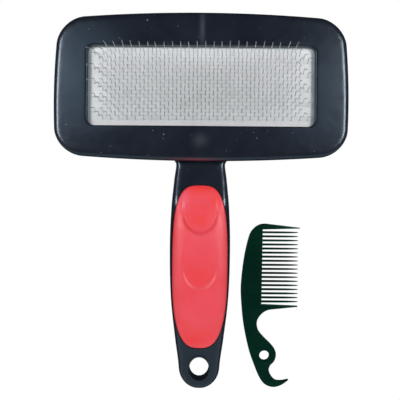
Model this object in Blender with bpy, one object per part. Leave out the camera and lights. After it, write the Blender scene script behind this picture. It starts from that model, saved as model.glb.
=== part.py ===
"""Slicker brush with a pad of bent wire pins, and the small hooked comb supplied with it.

The brush lies on its back: +X runs across the head, +Y from the handle to the head and +Z out
along the pins. The origin is the centre of the flat face under the head. The comb lies beside
the handle, loose. Lengths are in metres.
"""

import math

import bmesh
import bpy
from mathutils import Vector

MM = 0.001
GAP = 0.3 * MM

# Head: a rounded rectangle whose sides bulge a little
HEAD_HALF_X = 85.7 * MM
HEAD_HALF_Y = 43.05 * MM
HEAD_CENTRE_Y = -0.2 * MM
HEAD_CORNER_RADIUS = 15.0 * MM
SIDE_BULGE = 1.9 * MM
TOP_BULGE = 3.7 * MM
BOTTOM_BULGE = 3.7 * MM
HEAD_TAPER = 0.85 * MM

# Heights in the head, up from the surface that the brush lies on
TRAY_FLOOR_Z = 2.4 * MM
TRAY_RIM_Z = 11.0 * MM
FRAME_UNDERSIDE_Z = 15.8 * MM
FRAME_FACE_Z = 18.0 * MM
FRAME_FACE_FALL = 0.8 * MM
TRAY_WALL = 2.4 * MM
SKIRT_THICKNESS = 1.6 * MM
SKIRT_FOOT_Z = 7.5 * MM

# Window in the frame, and the pad under it
WINDOW_CENTRE_Y = 0.2 * MM
WINDOW_HALF_X = 66.0 * MM
WINDOW_HALF_Y = 23.2 * MM
WINDOW_CORNER_RADIUS = 4.0 * MM
PAD_FLANGE = 4.0 * MM
FOAM_TOP_Z = 9.5 * MM
BACKING_THICKNESS = 0.8 * MM
CROWN_Z = 10.9 * MM
CROWN_THICKNESS = 0.4 * MM
CROWN_WIDTH = 0.9 * MM
FACE_SHEET_Z = 11.6 * MM
PAD_TOP_Z = 14.0 * MM
POCKET_CLEARANCE = 0.5 * MM
POCKET_WALL = 1.6 * MM
POCKET_WALL_TOP_Z = 13.0 * MM

# Pins: rows of bent wire, two to a staple. Each row is half a pin pitch along from the last.
ROWS = 20
ROW_PITCH = 2.09 * MM
PIN_PITCH = 4.78 * MM
FIRST_PIN_X = -62.1 * MM
PIN_REACH = 62.3 * MM
ROWS_IN_PATTERN = 4
PIN_RADIUS = 0.27 * MM
SLOT_WIDTH = 1.36 * MM
SLOT_SHIFT = 0.24 * MM
SLOT_END = 1.2 * MM
KNEE_Z = 19.6 * MM
KNEE_LEAN = 2.4 * MM
KNEE_INWARD = 0.5 * MM
TIP_Z = 26.0 * MM
TIP_LEAN = -1.85 * MM
TIP_INWARD = 2.0 * MM
EDGE_SPLAY = 2.8 * MM
LEFT_EDGE_SPLAY = 4.6 * MM
TOP_ROW_SPLAY = 3.0 * MM
TOP_ROW_FAN = 1.3 * MM

# Handle: stations of (y, half width, underside z, top z), interpolated smoothly
HANDLE_STATIONS = [
    (-30.6, 14.2, 0.6, 10.2),
    (-43.6, 14.3, 0.6, 10.7),
    (-54.1, 15.6, 0.5, 12.3),
    (-77.6, 17.5, 0.4, 16.6),
    (-101.6, 17.8, 0.4, 17.8),
    (-125.6, 16.9, 0.4, 17.0),
    (-149.2, 14.3, 0.8, 13.6),
    (-165.5, 12.2, 1.2, 11.6),
    (-178.1, 12.2, 1.3, 11.0),
]
HANDLE_END_Y = -178.1 * MM
HANDLE_END_RADIUS = 12.2 * MM
HANDLE_SQUARENESS = 3.0
HANDLE_RING_POINTS = 36

# Hanging hole, a little longer than it is wide
HOLE_CENTRE_Y = -165.7 * MM
HOLE_HALF_X = 5.8 * MM
HOLE_HALF_Y = 6.65 * MM

# Soft grips: ovals let into the front and the back of the handle
GRIP_TOP_Y = -57.4 * MM
GRIP_CENTRE_Y = -106.0 * MM
GRIP_BOTTOM_Y = -153.0 * MM
GRIP_HALF_X = 16.2 * MM
GRIP_UPPER_SQUARENESS = 3.3
GRIP_LOWER_SQUARENESS = 2.8
GRIP_THICKNESS = 2.6 * MM
GRIP_PROUD = 0.4 * MM
BACK_GRIP_SHARE = 0.78
BACK_GRIP_THICKNESS = 2.2 * MM
BACK_GRIP_PROUD = 0.3 * MM
DIMPLE_CENTRES_Y = (-76.0 * MM, -108.0 * MM, -140.0 * MM)
DIMPLE_HALF_X = 11.5 * MM
DIMPLE_HALF_Y = 12.5 * MM
DIMPLE_DEPTH = 1.1 * MM
CORE_CENTRES_Y = (-78.1 * MM, -104.6 * MM, -131.1 * MM)
CORE_HALF_X = 8.0 * MM
CORE_HALF_Y = 9.5 * MM
CORE_TOP_Z = 11.0 * MM

# Comb: origin on the tooth root line, at the middle of the teeth
COMB_PLACE = (37.9 * MM, -107.2 * MM, 0.0)
COMB_SCALE = 1.032
COMB_THICKNESS = 2.6 * MM
COMB_HOLE_CENTRE = (1.6 * MM, -51.2 * MM)
COMB_HOLE_RADIUS = 2.88 * MM
TOOTH_COUNT = 18
TOOTH_PITCH = 2.4 * MM
TOOTH_MIDDLE_Y = 0.85 * MM
# Stations along a tooth: (distance from the root line, width, height) in mm
TOOTH_STATIONS = [(-1.0, 1.25, 2.2), (14.5, 1.15, 1.9), (21.2, 0.45, 0.9)]


# ---------------------------------------------------------------- helpers


def clear_scene():
    for old in list(bpy.data.objects):
        bpy.data.objects.remove(old, do_unlink=True)


def plastic(name, colour, roughness, metallic=0.0):
    """A Principled BSDF material of one colour."""
    material = bpy.data.materials.new(name)
    material.use_nodes = True
    shader = material.node_tree.nodes["Principled BSDF"]
    shader.inputs["Base Color"].default_value = (*colour, 1.0)
    shader.inputs["Roughness"].default_value = roughness
    shader.inputs["Metallic"].default_value = metallic
    material.diffuse_color = (*colour, 1.0)
    return material


def add_object(name, bm, material=None, place=(0.0, 0.0, 0.0)):
    """Turns bm into a named object with its faces pointing out."""
    bmesh.ops.recalc_face_normals(bm, faces=bm.faces)
    mesh = bpy.data.meshes.new(name)
    bm.to_mesh(mesh)
    bm.free()
    made = bpy.data.objects.new(name, mesh)
    made.location = place
    bpy.context.scene.collection.objects.link(made)
    if material:
        mesh.materials.append(material)
        mesh.shade_smooth()
        mesh.set_sharp_from_angle(angle=math.radians(35))
    return made


def add_cutter(name, bm):
    cutter = add_object(name, bm)
    cutter.hide_render = True
    cutter.display_type = "WIRE"
    return cutter


def boolean(target, cutter, operation):
    modifier = target.modifiers.new(cutter.name, "BOOLEAN")
    modifier.operation = operation
    modifier.object = cutter
    modifier.solver = "EXACT"


def smooth_through(points, x):
    """The value at x of a Catmull-Rom curve through points (x, y), which are in order of x."""
    i = max(k for k in range(len(points) - 1) if points[k][0] <= x or k == 0)
    x0, y0 = points[i]
    x1, y1 = points[i + 1]
    before = points[max(i - 1, 0)]
    after = points[min(i + 2, len(points) - 1)]
    slope0 = (y1 - before[1]) / (x1 - before[0])
    slope1 = (after[1] - y0) / (after[0] - x0)
    t = (x - x0) / (x1 - x0)
    span = x1 - x0
    return (
        (2 * t**3 - 3 * t**2 + 1) * y0
        + (t**3 - 2 * t**2 + t) * span * slope0
        + (3 * t**2 - 2 * t**3) * y1
        + (t**3 - t**2) * span * slope1
    )


def bridge_rings(bm, rings, closed):
    """Quads between neighbouring rings of points. An open run gets a cap at each end."""
    rows = [[bm.verts.new(point) for point in ring] for ring in rings]
    count = len(rows[0])
    pairs = list(zip(rows, rows[1:]))
    if closed:
        pairs.append((rows[-1], rows[0]))
    for low, high in pairs:
        for i in range(count):
            j = (i + 1) % count
            bm.faces.new((low[i], low[j], high[j], high[i]))
    if not closed:
        bm.faces.new(rows[0])
        bm.faces.new(rows[-1])


def plate(outline, holes, z_low, z_high):
    """A flat plate between two heights, with straight holes through it."""
    bm = bmesh.new()
    loops = [outline, *holes]
    layers = []
    for z in (z_low, z_high):
        rings = [[bm.verts.new((x, y, z)) for x, y in loop] for loop in loops]
        edges = []
        for ring in rings:
            for i, vert in enumerate(ring):
                edges.append(bm.edges.new((vert, ring[(i + 1) % len(ring)])))
        bmesh.ops.triangle_fill(bm, use_beauty=True, edges=edges)
        layers.append(rings)
    for low, high in zip(*layers):
        for i in range(len(low)):
            j = (i + 1) % len(low)
            bm.faces.new((low[i], low[j], high[j], high[i]))
    return bm


def box(centre, size):
    bm = bmesh.new()
    bmesh.ops.create_cube(bm, size=1.0)
    bmesh.ops.scale(bm, vec=size, verts=bm.verts)
    bmesh.ops.translate(bm, vec=centre, verts=bm.verts)
    return bm


# ---------------------------------------------------------------- outlines


def rounded_rectangle(half_x, half_y, radius, centre_y, arc_steps=5, long_steps=8, short_steps=3):
    """Points round a rounded rectangle, the same number for any size, so that two match."""
    points = []
    corners = ((1, 1, 0), (-1, 1, 90), (-1, -1, 180), (1, -1, 270))
    for number, (sign_x, sign_y, start) in enumerate(corners):
        centre = Vector((sign_x * (half_x - radius), sign_y * (half_y - radius)))
        for step in range(arc_steps + 1):
            angle = math.radians(start + 90 * step / arc_steps)
            points.append(centre + radius * Vector((math.cos(angle), math.sin(angle))))
        steps = long_steps if number % 2 == 0 else short_steps
        next_x, next_y, next_start = corners[(number + 1) % 4]
        angle = math.radians(next_start)
        target = Vector((next_x * (half_x - radius), next_y * (half_y - radius)))
        target += radius * Vector((math.cos(angle), math.sin(angle)))
        begin = points[-1]
        points.extend(begin.lerp(target, step / steps) for step in range(1, steps))
    return [Vector((point.x, point.y + centre_y)) for point in points]


def head_outline(inset):
    """The head's outline, moved in by inset: four bulged sides, a little wider near the handle."""
    half_x = HEAD_HALF_X - SIDE_BULGE - inset
    mean_bulge = (TOP_BULGE + BOTTOM_BULGE) / 2
    half_y = HEAD_HALF_Y - mean_bulge - inset
    radius = max(HEAD_CORNER_RADIUS - inset, 4 * MM)
    centre_y = (BOTTOM_BULGE - TOP_BULGE) / 2 + HEAD_CENTRE_Y
    bulged = []
    for point in rounded_rectangle(half_x, half_y, radius, centre_y):
        across = point.x / half_x
        along = (point.y - centre_y) / half_y
        bulge = TOP_BULGE if along > 0 else BOTTOM_BULGE
        x = point.x + SIDE_BULGE * across * max(0.0, 1 - along**2) - HEAD_TAPER * across * along
        y = point.y + bulge * along * max(0.0, 1 - across**2)
        bulged.append(Vector((x, y)))
    return bulged


def window_outline(outset):
    radius = WINDOW_CORNER_RADIUS + outset
    return rounded_rectangle(WINDOW_HALF_X + outset, WINDOW_HALF_Y + outset, radius, WINDOW_CENTRE_Y)


def at_height(outline, z):
    return [Vector((point.x, point.y, z)) for point in outline]


def on_face(outline, below):
    """The outline on the frame's face, which falls away slightly to the left and right."""
    ring = []
    for point in outline:
        fall = FRAME_FACE_FALL * (point.x / HEAD_HALF_X) ** 2
        ring.append(Vector((point.x, point.y, FRAME_FACE_Z - fall - below)))
    return ring


def grip_outline(share, margin, points=36):
    """The grip's oval: squarer at its head end, rounder at its lower end."""
    outline = []
    half_up = (GRIP_TOP_Y - GRIP_CENTRE_Y) * share + margin
    half_down = (GRIP_CENTRE_Y - GRIP_BOTTOM_Y) * share + margin
    half_x = GRIP_HALF_X * share + margin
    for step in range(points):
        angle = 2 * math.pi * step / points
        across, along = math.cos(angle), math.sin(angle)
        power = 2 / (GRIP_UPPER_SQUARENESS if along >= 0 else GRIP_LOWER_SQUARENESS)
        half_y = half_up if along >= 0 else half_down
        x = half_x * math.copysign(abs(across) ** power, across)
        y = half_y * math.copysign(abs(along) ** power, along)
        outline.append(Vector((x, GRIP_CENTRE_Y + y)))
    return outline


# ---------------------------------------------------------------- handle surface


def station_value(column, y):
    rows = sorted((row[0] * MM, row[column] * MM) for row in HANDLE_STATIONS)
    return smooth_through(rows, y)


def end_fullness(y):
    """(share of the width, share of the height) that the rounded end leaves at y."""
    end_centre = HANDLE_END_Y + HANDLE_END_RADIUS
    if y >= end_centre:
        return 1.0, 1.0
    reach = min((end_centre - y) / HANDLE_END_RADIUS, 1.0)
    return math.sqrt(1 - reach**2), (1 - reach**6) ** (1 / 3)


def handle_section(y):
    """(half width, half height, middle z) of the handle at y."""
    width_share, height_share = end_fullness(y)
    low, high = station_value(2, y), station_value(3, y)
    half_width = station_value(1, y) * width_share
    return half_width, (high - low) / 2 * height_share, (high + low) / 2


def handle_surface(x, y, side):
    """The z of the handle's surface over (x, y), on the front for side 1 and the back for -1."""
    half_width, half_height, middle = handle_section(y)
    across = min(abs(x) / half_width, 1.0)
    return middle + side * half_height * (1 - across**HANDLE_SQUARENESS) ** (1 / HANDLE_SQUARENESS)


def handle_ring(y):
    half_width, half_height, middle = handle_section(y)
    ring = []
    for step in range(HANDLE_RING_POINTS):
        angle = 2 * math.pi * (step + 0.5) / HANDLE_RING_POINTS
        across, up = math.cos(angle), math.sin(angle)
        power = 2 / HANDLE_SQUARENESS
        x = half_width * math.copysign(abs(across) ** power, across)
        z = middle + half_height * math.copysign(abs(up) ** power, up)
        ring.append(Vector((x, y, z)))
    return ring


def handle_solid():
    """The handle, from inside the head's wall to the rounded end."""
    straight = [-31, -38, -45, -53, -62, -73, -86, -101, -116, -130, -142, -153, -161]
    ys = [value * MM for value in straight]
    end_centre = HANDLE_END_Y + HANDLE_END_RADIUS
    for degrees in (0, 24, 44, 60, 73, 82):
        ys.append(end_centre - HANDLE_END_RADIUS * math.sin(math.radians(degrees)))
    bm = bmesh.new()
    bridge_rings(bm, [handle_ring(y) for y in ys], closed=False)
    return bm


# ---------------------------------------------------------------- body shell


def tray_solid():
    """The outside of the head's back, with its flat rest face, as a solid block."""
    profile = ((9.0, 0.0), (6.0, 0.8), (3.2, 2.6), (1.4, 5.0), (0.6, 8.0), (0.6, 11.0))
    bm = bmesh.new()
    rings = [at_height(head_outline(inset * MM), z * MM) for inset, z in profile]
    bridge_rings(bm, rings, closed=False)
    return bm


def tray_cavity():
    inset = 0.6 * MM + TRAY_WALL
    profile = ((8.5, 0.0), (5.0, 0.6), (2.2, 2.0), (0.6, 3.6), (0.0, 4.6))
    rings = [at_height(head_outline(inset + extra * MM), TRAY_FLOOR_Z + rise * MM) for extra, rise in profile]
    rings.append(at_height(head_outline(inset), 25 * MM))
    bm = bmesh.new()
    bridge_rings(bm, rings, closed=False)
    return bm


def pocket_wall():
    """The rib that fences the pad in and holds the frame up round the window."""
    inner = window_outline(PAD_FLANGE + POCKET_CLEARANCE)
    outer = window_outline(PAD_FLANGE + POCKET_CLEARANCE + POCKET_WALL)
    return plate(outer, [inner], TRAY_FLOOR_Z - 0.6 * MM, POCKET_WALL_TOP_Z)


def stiffening_ribs():
    """Low ribs from the pocket wall out to the tray's wall."""
    places = []
    for x in (-52, -26, 0, 26, 52):
        for side in (-1, 1):
            places.append(((x * MM, side * 33.6 * MM, 4.5 * MM), (1.4 * MM, 10.0 * MM, 4.9 * MM)))
    for side in (-1, 1):
        for y in (-10, 10):
            places.append(((side * 76.2 * MM, y * MM, 4.5 * MM), (10.0 * MM, 1.4 * MM, 4.9 * MM)))
    bm = bmesh.new()
    for centre, size in places:
        one = box(centre, size)
        mesh = bpy.data.meshes.new("rib")
        one.to_mesh(mesh)
        one.free()
        bm.from_mesh(mesh)
        bpy.data.meshes.remove(mesh)
    return bm


def oval_pad(outline, front, back, rings=4):
    """A domed pad over an oval: front(x, y) and back(x, y) give the z of its two sides."""
    centre = Vector((0.0, GRIP_CENTRE_Y))
    bm = bmesh.new()
    sides = []
    for surface in (front, back):
        layers = [bm.verts.new((0.0, GRIP_CENTRE_Y, surface(0.0, GRIP_CENTRE_Y)))]
        for step in range(1, rings + 1):
            share = math.sin(math.pi / 2 * step / rings)
            ring = []
            for point in outline:
                x, y = centre.lerp(point, share)
                ring.append(bm.verts.new((x, y, surface(x, y))))
            layers.append(ring)
        count = len(outline)
        for i in range(count):
            bm.faces.new((layers[0], layers[1][i], layers[1][(i + 1) % count]))
        for low, high in zip(layers[1:], layers[2:]):
            for i in range(count):
                j = (i + 1) % count
                bm.faces.new((low[i], high[i], high[j], low[j]))
        sides.append(layers[-1])
    for i in range(len(outline)):
        j = (i + 1) % len(outline)
        bm.faces.new((sides[0][i], sides[0][j], sides[1][j], sides[1][i]))
    return bm


def dimple(x, y):
    """The depth at (x, y) of the three thumb dimples in the front grip."""
    depth = 0.0
    for centre_y in DIMPLE_CENTRES_Y:
        away = (x / DIMPLE_HALF_X) ** 2 + ((y - centre_y) / DIMPLE_HALF_Y) ** 2
        if away < 1:
            depth += DIMPLE_DEPTH * (1 - away) ** 1.5
    return depth


def core_pockets():
    """Three pockets that core out the handle under the back grip, with webs between them."""
    bm = bmesh.new()
    for centre_y in CORE_CENTRES_Y:
        outline = rounded_rectangle(CORE_HALF_X, CORE_HALF_Y, 3 * MM, centre_y, 3, 2, 2)
        one = plate(outline, [], 1.0 * MM, CORE_TOP_Z)
        mesh = bpy.data.meshes.new("core")
        one.to_mesh(mesh)
        one.free()
        bm.from_mesh(mesh)
        bpy.data.meshes.remove(mesh)
    return bm


def hole_cutter():
    """The hanging hole, flared at both faces."""
    profile = ((2.4, -1.0), (1.0, 1.4), (0.0, 2.8), (0.0, 9.8), (0.6, 11.0), (2.4, 14.0))
    rings = []
    for flare, z in profile:
        ring = []
        for step in range(28):
            angle = 2 * math.pi * step / 28
            x = (HOLE_HALF_X + flare * MM) * math.cos(angle)
            y = HOLE_CENTRE_Y + (HOLE_HALF_Y + flare * MM) * math.sin(angle)
            ring.append(Vector((x, y, z * MM)))
        rings.append(ring)
    bm = bmesh.new()
    bridge_rings(bm, rings, closed=False)
    return bm


def body_shell(material):
    """Head tray and handle in one moulding."""
    body = add_object("body_shell", tray_solid(), material)
    boolean(body, add_cutter("handle_solid", handle_solid()), "UNION")
    boolean(body, add_cutter("tray_cavity", tray_cavity()), "DIFFERENCE")
    boolean(body, add_cutter("pocket_wall", pocket_wall()), "UNION")
    boolean(body, add_cutter("stiffening_ribs", stiffening_ribs()), "UNION")

    def floor(x, y):
        return handle_surface(x, y, 1) - GRIP_THICKNESS - GAP

    front = oval_pad(grip_outline(1.0, GAP), lambda x, y: 30 * MM, floor)
    boolean(body, add_cutter("front_pocket", front), "DIFFERENCE")

    def ceiling(x, y):
        return handle_surface(x, y, -1) + BACK_GRIP_THICKNESS + GAP

    back = oval_pad(grip_outline(BACK_GRIP_SHARE, GAP), ceiling, lambda x, y: -10 * MM)
    boolean(body, add_cutter("back_pocket", back), "DIFFERENCE")
    boolean(body, add_cutter("core_pockets", core_pockets()), "DIFFERENCE")
    boolean(body, add_cutter("hanging_hole", hole_cutter()), "DIFFERENCE")


# ---------------------------------------------------------------- other pieces


def head_frame(material):
    """The front of the head: rim, face, window wall, and the skirt that plugs into the tray."""
    lip = 0.6 * MM
    skirt_out = lip + TRAY_WALL + GAP
    skirt_in = skirt_out + SKIRT_THICKNESS
    rim_z = TRAY_RIM_Z + GAP
    rings = [
        at_height(head_outline(lip), rim_z),
        at_height(head_outline(0.1 * MM), 13.0 * MM),
        at_height(head_outline(0.0), 14.6 * MM),
        on_face(head_outline(0.0), 1.8 * MM),
        on_face(head_outline(0.25 * MM), 0.9 * MM),
        on_face(head_outline(1.0 * MM), 0.25 * MM),
        on_face(head_outline(3.0 * MM), 0.0),
        on_face(window_outline(1.2 * MM), 0.0),
        on_face(window_outline(0.4 * MM), 0.25 * MM),
        on_face(window_outline(0.0), 0.9 * MM),
        at_height(window_outline(0.0), PAD_TOP_Z + GAP),
        at_height(window_outline(2.0 * MM), PAD_TOP_Z + GAP),
        at_height(window_outline(2.0 * MM), FRAME_UNDERSIDE_Z - 0.3 * MM),
        at_height(head_outline(skirt_in), FRAME_UNDERSIDE_Z - 0.8 * MM),
        at_height(head_outline(skirt_in), SKIRT_FOOT_Z),
        at_height(head_outline(skirt_out), SKIRT_FOOT_Z),
        at_height(head_outline(skirt_out), rim_z),
    ]
    bm = bmesh.new()
    bridge_rings(bm, rings, closed=True)
    add_object("head_frame", bm, material)


def foam_cushion(material):
    outline = window_outline(PAD_FLANGE)
    add_object("foam_cushion", plate(outline, [], TRAY_FLOOR_Z + GAP, FOAM_TOP_Z), material)


def backing_cloth(material):
    low = FOAM_TOP_Z + GAP
    outline = window_outline(PAD_FLANGE)
    add_object("backing_cloth", plate(outline, [], low, low + BACKING_THICKNESS), material)


def row_y(row):
    return WINDOW_CENTRE_Y + ((ROWS - 1) / 2 - row) * ROW_PITCH


def pins_in_row(row):
    """The x of each pin in a row. Pins come in pairs, because each staple has two legs."""
    first = FIRST_PIN_X + (row - 1) % ROWS_IN_PATTERN * PIN_PITCH / 2
    staples = int((PIN_REACH - first - PIN_PITCH) / (2 * PIN_PITCH)) + 1
    return [first + pin * PIN_PITCH for pin in range(2 * staples)]


def pad_face(material):
    """The cloth-faced sheet, with a narrow slot for each row of pins."""
    half = PIN_REACH + SLOT_END
    slots = []
    for row in range(ROWS):
        middle = row_y(row) + SLOT_SHIFT
        low, high = middle - SLOT_WIDTH / 2, middle + SLOT_WIDTH / 2
        slots.append([Vector((-half, low)), Vector((half, low)), Vector((half, high)), Vector((-half, high))])
    add_object("pad_face", plate(window_outline(PAD_FLANGE), slots, FACE_SHEET_Z, PAD_TOP_Z), material)


def triangle_ring(bm, x, y, z):
    ring = []
    for corner in range(3):
        angle = math.radians(90 + 120 * corner)
        ring.append(bm.verts.new((x + PIN_RADIUS * math.cos(angle), y + PIN_RADIUS * math.sin(angle), z)))
    return ring


def pin_row(number, material, slot_offset=-0.16 * MM):
    """One row of pins, bent towards the handle, on the wire crown that joins them under the sheet."""
    pins = pins_in_row(number)
    y = row_y(number) + slot_offset
    left, right = pins[0] - SLOT_END / 2, pins[-1] + SLOT_END / 2
    front, back = y - CROWN_WIDTH / 2, y + CROWN_WIDTH / 2
    low, high = CROWN_Z, CROWN_Z + CROWN_THICKNESS
    corners = [(left, front), (right, front), (right, back), (left, back)]
    bm = bmesh.new()
    bottom = [bm.verts.new((cx, cy, low)) for cx, cy in corners]
    top = [bm.verts.new((cx, cy, high)) for cx, cy in corners]
    bm.faces.new(bottom)
    for i in range(4):
        j = (i + 1) % 4
        bm.faces.new((bottom[i], bottom[j], top[j], top[i]))
    rim = [bm.edges.get((top[i], top[(i + 1) % 4])) for i in range(4)]
    for x in pins:
        across = x / PIN_REACH
        knee_x = x - KNEE_INWARD * across
        edge_splay = EDGE_SPLAY if x > 0 else LEFT_EDGE_SPLAY
        top = max(0.0, y / row_y(0)) ** 8
        tip_x = x - TIP_INWARD * across + edge_splay * across**11 + TOP_ROW_FAN * top * across
        upward = TOP_ROW_SPLAY * top
        rings = [
            triangle_ring(bm, x, y, high),
            triangle_ring(bm, knee_x, y + KNEE_LEAN, KNEE_Z),
            triangle_ring(bm, tip_x, y + KNEE_LEAN + TIP_LEAN + upward, TIP_Z),
        ]
        for lower, upper in zip(rings, rings[1:]):
            for i in range(3):
                j = (i + 1) % 3
                bm.faces.new((lower[i], lower[j], upper[j], upper[i]))
        bm.faces.new(rings[-1])
        rim.extend(bm.edges.get((rings[0][i], rings[0][(i + 1) % 3])) for i in range(3))
    bmesh.ops.triangle_fill(bm, use_beauty=True, edges=rim)
    add_object(f"pin_row_{number + 1:02d}", bm, material)


def front_grip(material):
    """The soft grip let into the front of the handle, with three thumb dimples."""

    def top(x, y):
        return handle_surface(x, y, 1) + GRIP_PROUD - dimple(x, y)

    def under(x, y):
        return handle_surface(x, y, 1) - GRIP_THICKNESS

    add_object("front_grip", oval_pad(grip_outline(1.0, 0.0), top, under, rings=7), material)


def back_grip(material):
    """The soft grip on the back, which also closes the cored handle."""

    def outside(x, y):
        return handle_surface(x, y, -1) - BACK_GRIP_PROUD

    def inside(x, y):
        return handle_surface(x, y, -1) + BACK_GRIP_THICKNESS

    add_object("back_grip", oval_pad(grip_outline(BACK_GRIP_SHARE, 0.0), outside, inside), material)


# ---------------------------------------------------------------- comb

# Key points of the comb's outline, in mm, clockwise from the tip of the top guard tooth
COMB_SPINE = [
    (1.7, 26.4), (-2.05, 25.7), (-5.65, 22.9), (-8.05, 18.2), (-10.75, 5.8), (-12.35, -9.1),
    (-12.15, -19.2), (-10.75, -32.7), (-7.75, -47), (-4.75, -55.8), (-1.25, -64), (2.05, -68.1),
    (6.5, -69.7), (10.6, -69), (13.8, -67.2),
]
COMB_HOOK_AND_NOTCH = [
    (12.6, -66.0), (8.7, -65.9), (6.0, -63.6), (4.4, -59.9), (5.1, -57.2), (7.5, -54.5),
    (8.5, -51.2), (7.9, -47.9), (5.5, -44.6), (1.2, -40.4), (-1.9, -36.6), (-2.9, -32.7),
    (-2.2, -29.6), (0.2, -26.5), (3.4, -24.6), (7.1, -24.0),
]
COMB_HOOK_TIP = (16.0, -65.3)
COMB_TOP_TIP = [(22.1, 23.6), (22.1, 24.2)]
COMB_LOWER_TIP = [(20.9, -22.5), (20.9, -21.9)]
COMB_ROOTS = [(-0.3, -21.2), (0.2, 22.9)]


def curve_through(points, per_span=2):
    """Points of a Catmull-Rom curve through points."""
    found = []
    for i in range(len(points) - 1):
        p0 = Vector(points[max(i - 1, 0)])
        p1, p2 = Vector(points[i]), Vector(points[i + 1])
        p3 = Vector(points[min(i + 2, len(points) - 1)])
        for step in range(per_span):
            t = step / per_span
            found.append(
                0.5 * (2 * p1 + (p2 - p0) * t + (2 * p0 - 5 * p1 + 4 * p2 - p3) * t**2
                       + (3 * p1 - p0 - 3 * p2 + p3) * t**3)
            )
    found.append(Vector(points[-1]))
    return found


def comb_outline():
    in_mm = [
        *COMB_TOP_TIP,
        *curve_through(COMB_SPINE),
        COMB_HOOK_TIP,
        *curve_through(COMB_HOOK_AND_NOTCH),
        *COMB_LOWER_TIP,
        *COMB_ROOTS,
    ]
    return [Vector(point) * MM * COMB_SCALE for point in in_mm]


def comb_teeth():
    """Tapered teeth, each rooted inside the comb's back."""
    bm = bmesh.new()
    middle = COMB_THICKNESS / 2
    for number in range(TOOTH_COUNT):
        y = TOOTH_MIDDLE_Y + (number - (TOOTH_COUNT - 1) / 2) * TOOTH_PITCH
        rings = []
        for x, width, height in TOOTH_STATIONS:
            corners = ((-width / 2, 0), (0, -height / 2), (width / 2, 0), (0, height / 2))
            rings.append(
                [
                    Vector((x * MM * COMB_SCALE, (y + across * MM) * COMB_SCALE, middle + up * MM))
                    for across, up in corners
                ]
            )
        bridge_rings(bm, rings, closed=False)
    return bm


def hooked_comb(material):
    hole = []
    for step in range(20):
        angle = 2 * math.pi * step / 20
        x = COMB_HOLE_CENTRE[0] + COMB_HOLE_RADIUS * math.cos(angle)
        y = COMB_HOLE_CENTRE[1] + COMB_HOLE_RADIUS * math.sin(angle)
        hole.append(Vector((x, y)) * COMB_SCALE)
    comb = add_object("hooked_comb", plate(comb_outline(), [hole], 0.0, COMB_THICKNESS), material, COMB_PLACE)
    teeth = add_cutter("comb_teeth", comb_teeth())
    teeth.location = COMB_PLACE
    boolean(comb, teeth, "UNION")


def main():
    clear_scene()
    black = plastic("black_plastic", (0.012, 0.014, 0.02), 0.3)
    red = plastic("red_rubber", (0.8, 0.07, 0.09), 0.45)
    white = plastic("pad_cloth", (0.62, 0.64, 0.64), 0.8)
    foam = plastic("grey_foam", (0.25, 0.33, 0.33), 0.9)
    steel = plastic("pin_wire", (0.55, 0.56, 0.57), 0.35, 1.0)
    green = plastic("comb_plastic", (0.004, 0.022, 0.014), 0.3)
    body_shell(black)
    head_frame(black)
    front_grip(red)
    back_grip(red)
    foam_cushion(foam)
    backing_cloth(foam)
    pad_face(white)
    for number in range(ROWS):
        pin_row(number, steel)
    hooked_comb(green)


main()
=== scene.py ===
"""Looks for the slicker brush and its small hooked comb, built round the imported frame.

Everything is in the frame's own coordinates: metres, +Z up, the origin under the middle of the
head, +Y from the handle to the head.
"""

import math

import bmesh
import bpy
import numpy as np
from mathutils import Matrix, Vector


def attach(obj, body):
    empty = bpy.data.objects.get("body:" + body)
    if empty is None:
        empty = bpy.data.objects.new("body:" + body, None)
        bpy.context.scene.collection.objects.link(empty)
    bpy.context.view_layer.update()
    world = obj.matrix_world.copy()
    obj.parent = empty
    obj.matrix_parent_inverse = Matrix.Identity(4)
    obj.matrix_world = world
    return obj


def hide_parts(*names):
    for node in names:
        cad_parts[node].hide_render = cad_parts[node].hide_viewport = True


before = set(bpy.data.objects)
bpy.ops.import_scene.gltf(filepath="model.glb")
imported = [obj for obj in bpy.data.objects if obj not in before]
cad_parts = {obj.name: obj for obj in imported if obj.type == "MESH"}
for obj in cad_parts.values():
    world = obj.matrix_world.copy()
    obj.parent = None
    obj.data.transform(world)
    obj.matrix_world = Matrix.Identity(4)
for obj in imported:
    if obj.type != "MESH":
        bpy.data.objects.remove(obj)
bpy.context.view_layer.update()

MM = 0.001

# ---------------------------------------------------------------- camera

CAMERA_HEIGHT = 318 * MM
CAMERA_PLACE = (-0.2 * MM, -65.95 * MM, CAMERA_HEIGHT)
CAMERA_ROLL = 0.0082
CAMERA_LENS = 46.79


def make_camera():
    data = bpy.data.cameras.new("camera")
    data.lens = CAMERA_LENS
    data.sensor_width = 36.0
    data.clip_start, data.clip_end = 0.01, 20.0
    camera = bpy.data.objects.new("camera", data)
    camera.location = CAMERA_PLACE
    camera.rotation_euler = (0.0, 0.0, CAMERA_ROLL)
    bpy.context.scene.collection.objects.link(camera)
    bpy.context.scene.camera = camera


# ---------------------------------------------------------------- sizes shared with the CAD, in mm

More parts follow.
